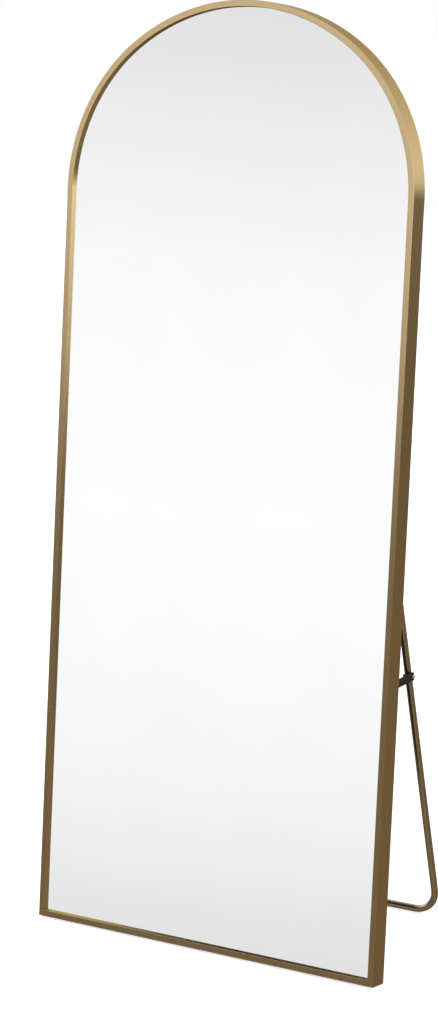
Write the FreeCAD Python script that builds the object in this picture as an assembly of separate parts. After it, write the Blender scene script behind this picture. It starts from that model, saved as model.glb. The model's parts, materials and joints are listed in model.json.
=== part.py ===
import FreeCAD, Part
import math
import os
from FreeCAD import Rotation, Vector

# Arched floor mirror on a folding U stand, in millimetres, one file per piece.
# The mirror is drawn upright: X to the right seen from the front, Y to the back, Z up,
# with the frame's lower front edge on the X axis. Every piece then leans back together.

# Mirror outline: straight sides, and an arch of one crown arc between two shoulder arcs
MIRROR_WIDTH = 762.0
MIRROR_HEIGHT = 1778.0
SHOULDER_CENTRE_OUT = 41.0
CROWN_HALF_ANGLE = 35.3
LEAN_ANGLE = 4.7

# Frame extrusion: a hollow front bar, a groove for the glass and an open channel behind it
FRAME_FACE = 12.0
FRAME_DEPTH = 39.0
FRAME_WALL = 1.5
FRAME_EDGE_RADIUS = 0.7
GLASS_RECESS = 7.0
GROOVE_RIB = 9.0
REAR_LIP = 12.0
CHANNEL_GAP = 0.2

# Glass pack, from the front
PANE_EDGE_GAP = 1.5
GLASS_THICKNESS = 4.0
FILM_THICKNESS = 0.3
FILM_MARGIN = 1.0
FOAM_THICKNESS = 3.0
BOARD_THICKNESS = 5.0

# Pan-head screws, all of one diameter
SCREW_RADIUS = 2.0
SCREW_HEAD_RADIUS = 3.8
SCREW_HEAD_HEIGHT = 2.4
SCREW_HEAD_ROUND = 0.9
SCREW_RECESS_WIDTH = 0.9
SCREW_RECESS_SPAN = 4.2
SCREW_RECESS_DEPTH = 1.3
SCREW_BITE = 5.0
HOLE_GAP = 0.05

# Corner keys in the two lower corners
KEY_LEG = 46.0
KEY_THICKNESS = 6.0
KEY_SCREW_FROM_END = 12.0

# Cross rails, rectangular tubes between the two stiles
RAIL_HEIGHT = 30.0
RAIL_WALL = 1.5
RAIL_SCREW_SPACING = 15.0
RAIL_SCREW_INSET = 6.5

# Stand: one bent tube with two legs and a floor bar, hinged below the arch
HINGE_UNDER_ARCH = 243.0
STAND_ANGLE = 18.8
LEG_FROM_SIDE = 111.5
TUBE_RADIUS = 7.0
TUBE_WALL = 1.2
BEND_RADIUS = 51.0
TUBE_OVER_HINGE = 8.5
CAP_FLANGE = 1.5
CAP_PLUG_LENGTH = 3.5
CAP_PLUG_GAP = 0.1

# Stand hinges: clevis brackets on the upper rail, bolts and nylon bushes
BRACKET_THICKNESS = 2.0
HINGE_SWING_GAP = 0.85
HINGE_SIDE_GAP = 0.6
HINGE_BOLT_RADIUS = 3.0
HINGE_BUSH_RADIUS = 4.0
HINGE_BUSH_PROUD = 0.3
HINGE_EAR_RADIUS = 8.0
HINGE_FLANGE = 15.0
HINGE_BASE_HEIGHT = 26.0
RUNNING_GAP = 0.05
BOLT_HEAD_RADIUS = 5.0
BOLT_HEAD_HEIGHT = 3.0
BOLT_END_PROUD = 1.5
NUT_FLATS = 10.0
NUT_HEIGHT = 4.5

# Stays: flat bars from the lower rail, hooked over studs on the legs
STUD_DISTANCE = 689.0
STUD_SHANK_RADIUS = 2.0
STUD_SHOULDER_RADIUS = 2.5
STUD_HEAD_RADIUS = 4.0
STUD_HEAD_HEIGHT = 2.5
STUD_NUT_FLATS = 7.0
STUD_NUT_HEIGHT = 3.2
STAY_WIDTH = 17.0
STAY_THICKNESS = 2.0
STAY_SLOPE = 8.0
STAY_BOARD_GAP = 1.45
STAY_LEG_GAP = 0.5
STAY_HEAD_GAP = 0.4
STAY_END_PAST_STUD = 6.0
STAY_CORNER_RADIUS = 4.5
STUD_SLOT_GAP = 0.3
STAY_PIVOT_RADIUS = 2.5
STAY_PIVOT_HEAD_RADIUS = 4.5
STAY_PIVOT_HEAD_HEIGHT = 2.5
STAY_PIVOT_NUT_FLATS = 8.0
STAY_PIVOT_NUT_HEIGHT = 4.0
STAY_BRACKET_GAP = 0.5
STAY_BRACKET_BASE = 34.0
STAY_BRACKET_SCREW_FIRST = 12.0
STAY_BRACKET_SCREW_SPACING = 14.0
STAY_PIVOT_OVER_RAIL = 13.0

# Wall hangers on the stiles' rear lips
HANGER_DROP = 100.0
HANGER_WIDTH = 30.0
HANGER_HEIGHT = 52.0
HANGER_THICKNESS = 2.0
HANGER_EDGE = 2.0
HANGER_SCREW_INSET = 6.5
HANGER_SCREW_SPACING = 34.0
HANGER_HOLE_INSET = 22.0
HANGER_HOLE_RADIUS = 4.25

# Rubber feet under the bottom rail, with soles level on the floor
FOOT_HEEL = 1.0
FOOT_BACK_MARGIN = 2.0
FOOT_DEPTH = 16.0
FOOT_LENGTH = 60.0
FOOT_FROM_SIDE = 50.0

SIDES = {"left": -1, "right": 1}
X_AXIS = Vector(1, 0, 0)
Y_AXIS = Vector(0, 1, 0)
Z_AXIS = Vector(0, 0, 1)
CUT_MARGIN = 5.0

# Values worked out from the sizes above
lean = math.radians(LEAN_ANGLE)
stand_turn = math.radians(STAND_ANGLE)
half_width = MIRROR_WIDTH / 2
crown_turn = math.radians(CROWN_HALF_ANGLE)
shoulder_radius = half_width - SHOULDER_CENTRE_OUT
crown_radius = shoulder_radius + SHOULDER_CENTRE_OUT / math.sin(crown_turn)
arch_rise = crown_radius - SHOULDER_CENTRE_OUT / math.tan(crown_turn)
spring_height = MIRROR_HEIGHT - arch_rise
pane_inset = FRAME_WALL + PANE_EDGE_GAP

film_front = GLASS_RECESS + GLASS_THICKNESS
foam_front = film_front + FILM_THICKNESS
board_front = foam_front + FOAM_THICKNESS
board_back = board_front + BOARD_THICKNESS
rib_front = board_back + CHANNEL_GAP
channel_front = rib_front + FRAME_WALL + CHANNEL_GAP
channel_back = FRAME_DEPTH - FRAME_WALL - CHANNEL_GAP
channel_middle = (channel_front + channel_back) / 2
channel_side = FRAME_WALL + CHANNEL_GAP

leg_x = half_width - LEG_FROM_SIDE
leg_outside = leg_x + TUBE_RADIUS
hinge_height = spring_height - HINGE_UNDER_ARCH
bracket_back = channel_back + BRACKET_THICKNESS
tube_over_cap = TUBE_OVER_HINGE + CAP_FLANGE
hinge_swing = TUBE_RADIUS * math.cos(stand_turn) + tube_over_cap * math.sin(stand_turn)
hinge_y = bracket_back + hinge_swing + HINGE_SWING_GAP
hinge_point = Vector(0, hinge_y, hinge_height)
ear_inside = TUBE_RADIUS + HINGE_SIDE_GAP
ear_outside = ear_inside + BRACKET_THICKNESS

floor_drop = FRAME_DEPTH * math.sin(lean) + FOOT_HEEL
hinge_over_floor = hinge_height * math.cos(lean) - hinge_y * math.sin(lean) + floor_drop
leg_length = (hinge_over_floor - TUBE_RADIUS) / math.cos(stand_turn - lean)
bar_y = hinge_y + leg_length * math.sin(stand_turn)
bar_z = hinge_height - leg_length * math.cos(stand_turn)
depth_on_floor = bar_y * math.cos(lean) + bar_z * math.sin(lean) + TUBE_RADIUS

stud_y = hinge_y + STUD_DISTANCE * math.sin(stand_turn)
stud_z = hinge_height - STUD_DISTANCE * math.cos(stand_turn)
slope = math.radians(STAY_SLOPE)
stay_pivot_y = board_back + STAY_BOARD_GAP + STAY_WIDTH / 2
stay_reach = (stud_y - stay_pivot_y) / math.cos(slope)
stay_ear_radius = stay_pivot_y - channel_front
stay_pivot_z = stud_z - stay_reach * math.sin(slope)
stay_inside = leg_outside + STAY_LEG_GAP
stay_outside = stay_inside + STAY_THICKNESS
stay_ear_inside = stay_outside + STAY_BRACKET_GAP
stay_ear_outside = stay_ear_inside + BRACKET_THICKNESS
stay_fold_per_stand_turn = (90 - STAY_SLOPE) / STAND_ANGLE
lower_rail_top = stay_pivot_z - STAY_PIVOT_OVER_RAIL
rail_middles = {"upper": hinge_height, "lower": lower_rail_top - RAIL_HEIGHT / 2}
hanger_z = spring_height - HANGER_DROP


def block(x0, x1, y0, y1, z0, z1):
    """A box between two corners, with its X limits in either order."""
    low = Vector(min(x0, x1), y0, z0)
    return Part.makeBox(abs(x1 - x0), y1 - y0, z1 - z0, low)


def rod(x, y, z, direction, radius, length):
    """A round rod that starts at a point and runs along a direction."""
    return Part.makeCylinder(radius, length, Vector(x, y, z), direction)


def cut_all(shape, tools):
    """A shape less several tools."""
    for tool in tools:
        shape = shape.cut(tool)
    return shape


def join(first, others):
    """One solid made of several that touch or overlap."""
    for other in others:
        first = first.fuse(other)
    return first.removeSplitter()


def hexagon_nut(x, y, z, direction, flats, height, hole_radius):
    """A hexagonal nut that starts at a point and runs along X, one way or the other."""
    corner = flats / math.sqrt(3)
    corners = []
    for step in range(7):
        turn = math.radians(60 * step)
        corners.append(Vector(x, y + corner * math.cos(turn), z + corner * math.sin(turn)))
    nut = Part.Face(Part.makePolygon(corners)).extrude(direction * height)
    return nut.cut(rod(x, y, z, direction, hole_radius, height))


def pan_screw(seat, drive, grip):
    """A pan-head screw: its head stands on the seat, and its shank runs along the drive."""
    head = Part.makeCylinder(SCREW_HEAD_RADIUS, SCREW_HEAD_HEIGHT)
    rim = [edge for edge in head.Edges if edge.Closed and edge.CenterOfMass.z > SCREW_HEAD_HEIGHT / 2]
    head = head.makeFillet(SCREW_HEAD_ROUND, rim)
    half_span = SCREW_RECESS_SPAN / 2
    half_slot = SCREW_RECESS_WIDTH / 2
    recess_floor = SCREW_HEAD_HEIGHT - SCREW_RECESS_DEPTH
    for out_x, out_y in ((half_span, half_slot), (half_slot, half_span)):
        head = head.cut(block(-out_x, out_x, -out_y, out_y, recess_floor, SCREW_HEAD_HEIGHT))
    shank_length = grip + SCREW_BITE
    shank = Part.makeCylinder(SCREW_RADIUS, shank_length, Vector(0, 0, -shank_length))
    screw = join(head, [shank])
    screw.Placement = FreeCAD.Placement(seat, Rotation(Vector(0, 0, -1), drive))
    return screw


def screw_hole(seat, drive, length):
    """The hole that a screw passes through."""
    return Part.makeCylinder(SCREW_RADIUS + HOLE_GAP, length, seat, drive)


# The arched outline, moved inwards by an inset

def outline(inset):
    """The mirror's outline as a closed wire, inset from the frame's outside."""
    side = half_width - inset
    shoulder = shoulder_radius - inset
    crown = crown_radius - inset
    crown_centre = MIRROR_HEIGHT - crown_radius

    def on_arc(centre_x, centre_z, radius, from_top):
        return Vector(centre_x + radius * math.sin(from_top), 0, centre_z + radius * math.cos(from_top))

    right_foot = Vector(side, 0, inset)
    left_foot = Vector(-side, 0, inset)
    right_spring = Vector(side, 0, spring_height)
    left_spring = Vector(-side, 0, spring_height)
    shoulder_middle = (crown_turn + math.pi / 2) / 2
    right_bend = on_arc(SHOULDER_CENTRE_OUT, spring_height, shoulder, shoulder_middle)
    left_bend = on_arc(-SHOULDER_CENTRE_OUT, spring_height, shoulder, -shoulder_middle)
    right_join = on_arc(0, crown_centre, crown, crown_turn)
    left_join = on_arc(0, crown_centre, crown, -crown_turn)
    top = on_arc(0, crown_centre, crown, 0)
    edges = [
        Part.LineSegment(left_foot, right_foot),
        Part.LineSegment(right_foot, right_spring),
        Part.Arc(right_spring, right_bend, right_join),
        Part.Arc(right_join, top, left_join),
        Part.Arc(left_join, left_bend, left_spring),
        Part.LineSegment(left_spring, left_foot),
    ]
    return Part.Wire([edge.toShape() for edge in edges])


def slab(inset, front, back):
    """A sheet with the arched outline between two depths."""
    face = Part.Face(outline(inset))
    face.translate(Vector(0, front, 0))
    return face.extrude(Vector(0, back - front, 0))


# Places of the screws that go through the frame's rear lip

def key_screw_spots():
    """X and Z of the screws into the corner keys, two to a corner."""
    across = channel_side + KEY_THICKNESS / 2
    along = channel_side + KEY_LEG - KEY_SCREW_FROM_END
    spots = []
    for side in SIDES.values():
        spots.append((side * (half_width - across), along))
        spots.append((side * (half_width - along), across))
    return spots


def rail_screw_spots(middle):
    """X and Z of the screws into a cross rail's two ends."""
    spots = []
    for side in SIDES.values():
        for step in (-0.5, 0.5):
            spots.append((side * (half_width - RAIL_SCREW_INSET), middle + step * RAIL_SCREW_SPACING))
    return spots


def hanger_screw_spots(side):
    """X and Z of the screws through a wall hanger."""
    x = side * (half_width - HANGER_SCREW_INSET)
    return [(x, hanger_z + step * HANGER_SCREW_SPACING) for step in (-0.5, 0.5)]


def rear_spots():
    """All screw places on the rear lip."""
    spots = key_screw_spots()
    for middle in rail_middles.values():
        spots += rail_screw_spots(middle)
    for side in SIDES.values():
        spots += hanger_screw_spots(side)
    return spots


def rear_holes(spots, front, back):
    """Holes along Y between two depths."""
    return [screw_hole(Vector(x, front, z), Y_AXIS, back - front) for x, z in spots]


def rear_screws(spots, seat_y, grip):
    """Screws driven from behind, with their heads on one depth."""
    return Part.makeCompound([pan_screw(Vector(x, seat_y, z), -Y_AXIS, grip) for x, z in spots])


# Frame: one bent length for the stiles and the arch, and a bottom rail mitred to it

def frame_ring():
    """The whole frame before it is cut at the mitres."""
    ring = slab(0, 0, FRAME_DEPTH)
    hollow = slab(FRAME_WALL, FRAME_WALL, GLASS_RECESS - FRAME_WALL)
    hollow = hollow.cut(slab(FRAME_FACE - FRAME_WALL, 0, GLASS_RECESS))
    ring = cut_all(ring, [
        slab(FRAME_FACE, -CUT_MARGIN, GLASS_RECESS),
        hollow,
        slab(FRAME_WALL, GLASS_RECESS, rib_front),
        slab(GROOVE_RIB, rib_front, rib_front + FRAME_WALL),
        slab(FRAME_WALL, rib_front + FRAME_WALL, FRAME_DEPTH - FRAME_WALL),
        slab(REAR_LIP, FRAME_DEPTH - FRAME_WALL, FRAME_DEPTH + CUT_MARGIN),
    ])
    front_edges = [edge for edge in ring.Edges if edge.BoundBox.YMax < FRAME_WALL / 2]
    ring = ring.makeFillet(FRAME_EDGE_RADIUS, front_edges)
    return cut_all(ring, rear_holes(rear_spots(), FRAME_DEPTH - FRAME_WALL, FRAME_DEPTH))


def mitre_wedge():
    """The room of the bottom rail, bounded by the two mitres."""
    reach = max(FRAME_FACE, REAR_LIP) + CUT_MARGIN
    corners = [
        Vector(-half_width - CUT_MARGIN, -CUT_MARGIN, -CUT_MARGIN),
        Vector(half_width + CUT_MARGIN, -CUT_MARGIN, -CUT_MARGIN),
        Vector(half_width - reach, -CUT_MARGIN, reach),
        Vector(-half_width + reach, -CUT_MARGIN, reach),
    ]
    face = Part.Face(Part.makePolygon(corners + corners[:1]))
    return face.extrude(Vector(0, FRAME_DEPTH + 2 * CUT_MARGIN, 0))


def frame_pieces():
    """The bent arch and the bottom rail."""
    ring = frame_ring()
    wedge = mitre_wedge()
    return {"frame_arch": ring.cut(wedge), "bottom_rail": ring.common(wedge)}


def corner_key(side):
    """An L-shaped key in the channel behind the groove, across the mitre."""
    out = half_width - channel_side
    low = channel_side
    corners = [
        (out, low),
        (out, low + KEY_LEG),
        (out - KEY_THICKNESS, low + KEY_LEG),
        (out - KEY_THICKNESS, low + KEY_THICKNESS),
        (out - KEY_LEG, low + KEY_THICKNESS),
        (out - KEY_LEG, low),
    ]
    points = [Vector(side * x, channel_front, z) for x, z in corners]
    face = Part.Face(Part.makePolygon(points + points[:1]))
    key = face.extrude(Y_AXIS * (channel_back - channel_front))
    return cut_all(key, rear_holes(key_screw_spots(), channel_front, channel_back))


def corner_pieces():
    """The two corner keys and their screws."""
    pieces = {"corner_key_" + name: corner_key(side) for name, side in SIDES.items()}
    pieces["corner_screws"] = rear_screws(key_screw_spots(), FRAME_DEPTH, FRAME_WALL)
    return pieces


# Glass pack in the groove: silvered glass, safety film, foam sheet and backing board

def glass_pack():
    """The four sheets from the front to the back."""
    return {
        "mirror_glass": slab(pane_inset, GLASS_RECESS, film_front),
        "safety_film": slab(pane_inset + FILM_MARGIN, film_front, foam_front),
        "foam_sheet": slab(pane_inset, foam_front, board_front),
        "backing_board": slab(pane_inset, board_front, board_back),
    }


# Cross rails in the rear channel, which carry the stand's hinges and the stays

def cross_rail(middle):
    """A rectangular tube between the stiles, with its screw holes."""
    end = half_width - channel_side
    low = middle - RAIL_HEIGHT / 2
    high = middle + RAIL_HEIGHT / 2
    rail = block(-end, end, channel_front, channel_back, low, high)
    inside = block(-end, end, channel_front + RAIL_WALL, channel_back - RAIL_WALL,
                   low + RAIL_WALL, high - RAIL_WALL)
    return cut_all(rail.cut(inside), rear_holes(rail_screw_spots(middle), channel_middle, channel_back))


def hinge_screw_spots():
    """X and Z of the screws through the hinge brackets."""
    out = ear_outside + HINGE_FLANGE / 2
    return [(side * leg_x + step * out, hinge_height) for side in SIDES.values() for step in (-1, 1)]


def stay_screw_spots():
    """X of the screws through each stay bracket's base."""
    first = stay_ear_inside + STAY_BRACKET_SCREW_FIRST
    return [side * (first + step * STAY_BRACKET_SCREW_SPACING) for side in SIDES.values() for step in (0, 1)]


def rail_pieces():
    """Both rails, drilled for the brackets, and the screws at their ends."""
    upper = cut_all(cross_rail(rail_middles["upper"]),
                    rear_holes(hinge_screw_spots(), channel_middle, channel_back))
    stay_holes = [screw_hole(Vector(x, channel_middle, lower_rail_top - RAIL_WALL), Z_AXIS, RAIL_WALL)
                  for x in stay_screw_spots()]
    lower = cut_all(cross_rail(rail_middles["lower"]), stay_holes)
    spots = [spot for middle in rail_middles.values() for spot in rail_screw_spots(middle)]
    return {
        "upper_cross_rail": upper,
        "lower_cross_rail": lower,
        "cross_rail_screws": rear_screws(spots, FRAME_DEPTH, FRAME_WALL + CHANNEL_GAP + RAIL_WALL),
    }


# Stand hinges: a clevis bracket, a bolt and a nut on each side, fixed to the upper rail

def hinge_bracket(side):
    """A base plate with two ears for the leg's hinge bolt."""
    centre = side * leg_x
    reach = ear_outside + HINGE_FLANGE
    low = hinge_height - HINGE_BASE_HEIGHT / 2
    high = hinge_height + HINGE_BASE_HEIGHT / 2
    base = block(centre - reach, centre + reach, channel_back, bracket_back, low, high)
    ears = []
    for step in (-1, 1):
        inner = centre + step * ear_inside
        outer = centre + step * ear_outside
        ears.append(block(inner, outer, channel_back, hinge_y,
                          hinge_height - HINGE_EAR_RADIUS, hinge_height + HINGE_EAR_RADIUS))
        ears.append(rod(min(inner, outer), hinge_y, hinge_height, X_AXIS, HINGE_EAR_RADIUS, BRACKET_THICKNESS))
    bracket = join(base, ears)
    bolt_hole = rod(centre - reach, hinge_y, hinge_height, X_AXIS, HINGE_BOLT_RADIUS + HOLE_GAP, 2 * reach)
    return cut_all(bracket, [bolt_hole] + rear_holes(hinge_screw_spots(), channel_back, bracket_back))


def hinge_bolt(side):
    """A bolt with its head on the outer ear and its end past the nut."""
    away = X_AXIS * side
    head_seat = side * (leg_x + ear_outside)
    head = rod(head_seat, hinge_y, hinge_height, away, BOLT_HEAD_RADIUS, BOLT_HEAD_HEIGHT)
    length = 2 * ear_outside + NUT_HEIGHT + BOLT_END_PROUD
    shank = rod(head_seat, hinge_y, hinge_height, -away, HINGE_BOLT_RADIUS, length)
    return join(head, [shank])


def hinge_nut(side):
    """A nut on the inner ear."""
    seat = side * (leg_x - ear_outside)
    return hexagon_nut(seat, hinge_y, hinge_height, X_AXIS * -side, NUT_FLATS, NUT_HEIGHT,
                       HINGE_BOLT_RADIUS + HOLE_GAP)


def hinge_pieces():
    """What the upper rail carries for the stand."""
    pieces = {}
    for name, side in SIDES.items():
        pieces["hinge_bracket_" + name] = hinge_bracket(side)
        pieces["hinge_bolt_" + name] = hinge_bolt(side)
    pieces["hinge_nuts"] = Part.makeCompound([hinge_nut(side) for side in SIDES.values()])
    grip = BRACKET_THICKNESS + RAIL_WALL
    pieces["hinge_bracket_screws"] = rear_screws(hinge_screw_spots(), bracket_back, grip)
    return pieces


# Stand, drawn folded flat behind the mirror and then swung open about its hinge

def stand_run(radius):
    """A solid round bar along the stand's whole run."""
    top = hinge_height + TUBE_OVER_HINGE
    bar = hinge_height - leg_length
    bend = BEND_RADIUS * math.sin(math.radians(45))
    inner = leg_x - BEND_RADIUS

    def at(x, z):
        return Vector(x, hinge_y, z)

    left_bend = at(-inner - bend, bar + BEND_RADIUS - bend)
    right_bend = at(inner + bend, bar + BEND_RADIUS - bend)
    edges = [
        Part.LineSegment(at(-leg_x, top), at(-leg_x, bar + BEND_RADIUS)),
        Part.Arc(at(-leg_x, bar + BEND_RADIUS), left_bend, at(-inner, bar)),
        Part.LineSegment(at(-inner, bar), at(inner, bar)),
        Part.Arc(at(inner, bar), right_bend, at(leg_x, bar + BEND_RADIUS)),
        Part.LineSegment(at(leg_x, bar + BEND_RADIUS), at(leg_x, top)),
    ]
    path = Part.Wire([edge.toShape() for edge in edges])
    section = Part.Wire([Part.Circle(at(-leg_x, top), Z_AXIS, radius).toShape()])
    return path.makePipeShell([section], True, False)


def stand_tube():
    """The bent tube, drilled for the hinge bushes and the hook studs."""
    tube = stand_run(TUBE_RADIUS).cut(stand_run(TUBE_RADIUS - TUBE_WALL))
    holes = []
    for side in SIDES.values():
        start = side * leg_x - 2 * TUBE_RADIUS
        stud_level = hinge_height - STUD_DISTANCE
        holes.append(rod(start, hinge_y, hinge_height, X_AXIS, HINGE_BUSH_RADIUS + HOLE_GAP, 4 * TUBE_RADIUS))
        holes.append(rod(start, hinge_y, stud_level, X_AXIS, STUD_SHANK_RADIUS + HOLE_GAP, 4 * TUBE_RADIUS))
    return cut_all(tube, holes)


def hinge_bush(side):
    """A nylon bush across the leg, which turns on the hinge bolt."""
    half = TUBE_RADIUS + HINGE_BUSH_PROUD
    start = side * leg_x - half
    bush = rod(start, hinge_y, hinge_height, X_AXIS, HINGE_BUSH_RADIUS, 2 * half)
    return bush.cut(rod(start, hinge_y, hinge_height, X_AXIS, HINGE_BOLT_RADIUS + RUNNING_GAP, 2 * half))


def tube_cap(side):
    """A plastic cap pressed into the top of a leg."""
    top = hinge_height + TUBE_OVER_HINGE
    flange = rod(side * leg_x, hinge_y, top, Z_AXIS, TUBE_RADIUS, CAP_FLANGE)
    rim = [edge for edge in flange.Edges if edge.Closed and edge.CenterOfMass.z > top + CAP_FLANGE / 2]
    flange = flange.makeFillet(CAP_FLANGE / 2, rim)
    plug_radius = TUBE_RADIUS - TUBE_WALL - CAP_PLUG_GAP
    return join(flange, [rod(side * leg_x, hinge_y, top, -Z_AXIS, plug_radius, CAP_PLUG_LENGTH)])


def hook_stud(side):
    """A shouldered stud through a leg, with a head that keeps the stay on it."""
    away = X_AXIS * side
    level = hinge_height - STUD_DISTANCE
    shoulder_length = STAY_LEG_GAP + STAY_THICKNESS + STAY_HEAD_GAP
    shank_length = 2 * TUBE_RADIUS + STUD_NUT_HEIGHT + BOLT_END_PROUD
    seat = side * leg_outside
    shank = rod(seat, hinge_y, level, -away, STUD_SHANK_RADIUS, shank_length)
    shoulder = rod(seat, hinge_y, level, away, STUD_SHOULDER_RADIUS, shoulder_length)
    head_seat = seat + side * shoulder_length
    head = rod(head_seat, hinge_y, level, away, STUD_HEAD_RADIUS, STUD_HEAD_HEIGHT)
    rim = [edge for edge in head.Edges
           if edge.Closed and abs(edge.CenterOfMass.x) > abs(head_seat) + STUD_HEAD_HEIGHT / 2]
    head = head.makeFillet(STUD_HEAD_HEIGHT / 3, rim)
    return join(shank, [shoulder, head])


def stud_nut(side):
    """A nut on the inner side of a leg."""
    seat = side * (leg_x - TUBE_RADIUS)
    level = hinge_height - STUD_DISTANCE
    return hexagon_nut(seat, hinge_y, level, X_AXIS * -side, STUD_NUT_FLATS, STUD_NUT_HEIGHT,
                       STUD_SHANK_RADIUS + HOLE_GAP)


def stand_pieces():
    """All that swings with the stand, swung open."""
    pieces = {"stand_tube": stand_tube()}
    for name, side in SIDES.items():
        pieces["hinge_bush_" + name] = hinge_bush(side)
        pieces["tube_cap_" + name] = tube_cap(side)
        pieces["hook_stud_" + name] = hook_stud(side)
    pieces["stud_nuts"] = Part.makeCompound([stud_nut(side) for side in SIDES.values()])
    for piece in pieces.values():
        piece.rotate(hinge_point, X_AXIS, STAND_ANGLE)
    return pieces


# Stays: drawn level along Y from their pivots, then turned up to the studs

def stud_slot(side):
    """The slanted hook slot, open along the way the stud leaves as stand and stay fold."""
    inward = STUD_DISTANCE * math.cos(stand_turn - slope)
    down = stay_reach * stay_fold_per_stand_turn + STUD_DISTANCE * math.sin(stand_turn - slope)
    radius = STUD_SHOULDER_RADIUS + STUD_SLOT_GAP
    start = min(side * stay_inside, side * stay_outside)
    seat = rod(start, stay_reach, 0, X_AXIS, radius, STAY_THICKNESS)
    way_out = block(start, start + STAY_THICKNESS, stay_reach - radius, stay_reach + radius, -STAY_WIDTH, 0)
    way_out.rotate(Vector(0, stay_reach, 0), X_AXIS, -math.degrees(math.atan2(inward, down)))
    return seat.fuse(way_out)


def stay(side):
    """A flat bar with a round pivot end and a hook end."""
    half = STAY_WIDTH / 2
    end = stay_reach + STAY_END_PAST_STUD
    corner = STAY_CORNER_RADIUS
    bow = corner * (1 - math.sin(math.radians(45)))
    x = side * stay_inside

    def at(along, up):
        return Vector(x, along, up)

    edges = [
        Part.LineSegment(at(0, -half), at(end - corner, -half)),
        Part.Arc(at(end - corner, -half), at(end - bow, bow - half), at(end, corner - half)),
        Part.LineSegment(at(end, corner - half), at(end, half - corner)),
        Part.Arc(at(end, half - corner), at(end - bow, half - bow), at(end - corner, half)),
        Part.LineSegment(at(end - corner, half), at(0, half)),
        Part.Arc(at(0, half), at(-half, 0), at(0, -half)),
    ]
    bar = Part.Face(Part.Wire([edge.toShape() for edge in edges])).extrude(X_AXIS * (side * STAY_THICKNESS))
    pivot_hole = rod(x, 0, 0, X_AXIS * side, STAY_PIVOT_RADIUS + RUNNING_GAP, STAY_THICKNESS)
    bar = cut_all(bar, [pivot_hole, stud_slot(side)])
    bar.rotate(Vector(0, 0, 0), X_AXIS, STAY_SLOPE)
    bar.translate(Vector(0, stay_pivot_y, stay_pivot_z))
    return bar


def stay_bracket(side):
    """An angle bracket on the lower rail: a base with two screws, and an ear for the pivot."""
    inner = side * stay_ear_inside
    outer = side * stay_ear_outside
    ear_back = stay_pivot_y + stay_ear_radius
    base_top = lower_rail_top + BRACKET_THICKNESS
    base = block(inner, inner + side * STAY_BRACKET_BASE, channel_front, channel_back, lower_rail_top, base_top)
    ear = block(inner, outer, channel_front, ear_back, lower_rail_top, stay_pivot_z)
    crown = rod(min(inner, outer), stay_pivot_y, stay_pivot_z, X_AXIS, stay_ear_radius, BRACKET_THICKNESS)
    holes = [screw_hole(Vector(x, channel_middle, lower_rail_top), Z_AXIS, BRACKET_THICKNESS)
             for x in stay_screw_spots()]
    holes.append(rod(min(inner, outer), stay_pivot_y, stay_pivot_z, X_AXIS,
                     STAY_PIVOT_RADIUS + HOLE_GAP, BRACKET_THICKNESS))
    return cut_all(join(base, [ear, crown]), holes)


def stay_pivot(side):
    """A bolt through a stay and its bracket, with its head on the stay's inner face."""
    away = X_AXIS * side
    head_seat = side * (stay_inside - STAY_BRACKET_GAP)
    grip = STAY_BRACKET_GAP + (stay_ear_outside - stay_inside)
    head = rod(head_seat, stay_pivot_y, stay_pivot_z, -away, STAY_PIVOT_HEAD_RADIUS, STAY_PIVOT_HEAD_HEIGHT)
    length = grip + STAY_PIVOT_NUT_HEIGHT + BOLT_END_PROUD
    return join(head, [rod(head_seat, stay_pivot_y, stay_pivot_z, away, STAY_PIVOT_RADIUS, length)])


def stay_pivot_nut(side):
    """A nut on the outer face of a stay bracket."""
    return hexagon_nut(side * stay_ear_outside, stay_pivot_y, stay_pivot_z, X_AXIS * side,
                       STAY_PIVOT_NUT_FLATS, STAY_PIVOT_NUT_HEIGHT, STAY_PIVOT_RADIUS + HOLE_GAP)


def stay_pieces():
    """The stays, and what the lower rail carries for them."""
    pieces = {}
    for name, side in SIDES.items():
        pieces["stay_" + name] = stay(side)
        pieces["stay_bracket_" + name] = stay_bracket(side)
        pieces["stay_pivot_" + name] = stay_pivot(side)
    pieces["stay_pivot_nuts"] = Part.makeCompound([stay_pivot_nut(side) for side in SIDES.values()])
    base_top = lower_rail_top + BRACKET_THICKNESS
    screws = [pan_screw(Vector(x, channel_middle, base_top), -Z_AXIS, BRACKET_THICKNESS + RAIL_WALL)
              for x in stay_screw_spots()]
    pieces["stay_bracket_screws"] = Part.makeCompound(screws)
    return pieces


# Wall hangers: steel plates on the rear lips, each with a round hole over the open back

def wall_hanger(side):
    """A plate with two screw holes over the lip and the hanging hole inside it."""
    outer = side * (half_width - HANGER_EDGE)
    inner = outer - side * HANGER_WIDTH
    low = hanger_z - HANGER_HEIGHT / 2
    plate = block(outer, inner, FRAME_DEPTH, FRAME_DEPTH + HANGER_THICKNESS, low, low + HANGER_HEIGHT)
    hole = rod(side * (half_width - HANGER_HOLE_INSET), FRAME_DEPTH, hanger_z, Y_AXIS,
               HANGER_HOLE_RADIUS, HANGER_THICKNESS)
    screw_holes = rear_holes(hanger_screw_spots(side), FRAME_DEPTH, FRAME_DEPTH + HANGER_THICKNESS)
    return cut_all(plate, [hole] + screw_holes)


def hanger_pieces():
    """Both hangers and their screws."""
    pieces = {"wall_hanger_" + name: wall_hanger(side) for name, side in SIDES.items()}
    spots = [spot for side in SIDES.values() for spot in hanger_screw_spots(side)]
    grip = HANGER_THICKNESS + FRAME_WALL
    pieces["wall_hanger_screws"] = rear_screws(spots, FRAME_DEPTH + HANGER_THICKNESS, grip)
    return pieces


# Rubber feet: thin wedges whose soles are level once the mirror leans

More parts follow.
